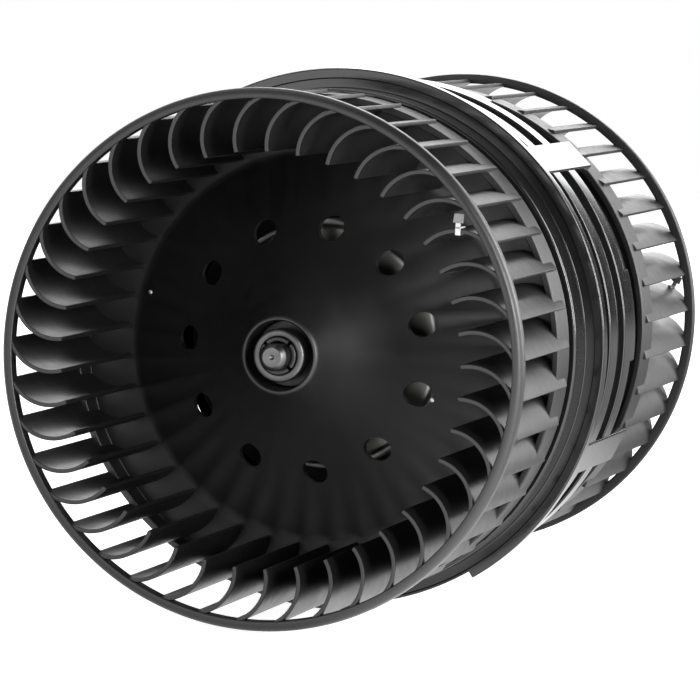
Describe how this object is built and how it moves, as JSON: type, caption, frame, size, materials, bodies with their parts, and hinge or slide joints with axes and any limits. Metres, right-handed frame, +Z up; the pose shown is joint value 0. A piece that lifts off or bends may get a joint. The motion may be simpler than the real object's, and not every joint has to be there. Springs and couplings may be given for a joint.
{
  "type": "double-ended cabin blower motor",
  "caption": "Cabin blower motor in a flanged cage, with a squirrel-cage wheel of forward-curved blades on each end of its shaft.",
  "frame": {"origin": "on the shaft's axis, in the middle plane of the carrier's flange", "axes": "Y along the shaft, with the front wheel towards -Y and the rear wheel towards +Y; +Z up, as the blower stands in the picture; +X to the right, seen from the front"},
  "size_m": [0.1602, 0.2214, 0.1582],
  "materials": {
    "wheel_plastic": "satin",
    "carrier_plastic": "semi-gloss",
    "connector_plastic": "satin",
    "shaft_steel": "ground",
    "ring_steel": "bright",
    "clip_steel": "bright",
    "screw_steel": "zinc plated",
    "spring_steel": "plain",
    "can_steel": "zinc plated",
    "core_steel": "dull",
    "magnet_ferrite": "dull",
    "winding_copper": "enamelled",
    "commutator_copper": "turned",
    "bearing_bronze": "sintered",
    "holder_brass": "plain",
    "terminal_brass": "tinned",
    "brush_carbon": "dull",
    "sleeve_resin": "moulded",
    "spacer_fibre": "dull",
    "card_board": "plain",
    "capacitor_case": "dipped",
    "damper_rubber": "matte"
  },
  "bodies": {
    "carrier": {"front_carrier": "carrier_plastic", "rear_carrier": "carrier_plastic", "carrier_screws": "screw_steel", "front_damper": "damper_rubber", "rear_damper": "damper_rubber", "motor_can": "can_steel", "can_cover": "can_steel", "front_bearing": "bearing_bronze", "rear_bearing": "bearing_bronze", "front_bearing_spring": "spring_steel", "rear_bearing_spring": "spring_steel", "right_magnet": "magnet_ferrite", "left_magnet": "magnet_ferrite", "magnet_springs": "spring_steel", "upper_brush_holder": "holder_brass", "lower_brush_holder": "holder_brass", "upper_brush_spring": "spring_steel", "lower_brush_spring": "spring_steel", "brush_card": "card_board", "choke_cores": "magnet_ferrite", "choke_coils": "winding_copper", "capacitor": "capacitor_case", "connector_housing": "connector_plastic", "positive_terminal": "terminal_brass", "negative_terminal": "terminal_brass"},
    "rotor": {"front_wheel": "wheel_plastic", "rear_wheel": "wheel_plastic", "front_clamp_ring": "ring_steel", "rear_clamp_ring": "ring_steel", "front_balance_clips": "clip_steel", "rear_balance_clips": "clip_steel", "front_balance_pins": "clip_steel", "rear_balance_pins": "clip_steel", "shaft": "shaft_steel", "armature_core": "core_steel", "armature_windings": "winding_copper", "commutator": "commutator_copper", "commutator_sleeve": "sleeve_resin", "front_spacer": "spacer_fibre", "rear_spacer": "spacer_fibre"},
    "upper_brush": {"upper_brush": "brush_carbon"},
    "lower_brush": {"lower_brush": "brush_carbon"}
  },
  "joints": [
    {"name": "rotor_spin", "type": "hinge", "parent": "carrier", "child": "rotor", "pos_m": [0, 0, 0], "axis": [0, 1, 0], "continuous": true},
    {"name": "upper_brush_slide", "type": "slide", "parent": "carrier", "child": "upper_brush", "axis": [0, 0, 1], "range_m": [0, 0.004], "stiffness_N_per_m": 150, "springref_m": -0.004, "deforming": ["upper_brush_spring"]},
    {"name": "lower_brush_slide", "type": "slide", "parent": "carrier", "child": "lower_brush", "axis": [0, 0, -1], "range_m": [0, 0.004], "stiffness_N_per_m": 150, "springref_m": -0.004, "deforming": ["lower_brush_spring"]}
  ]
}
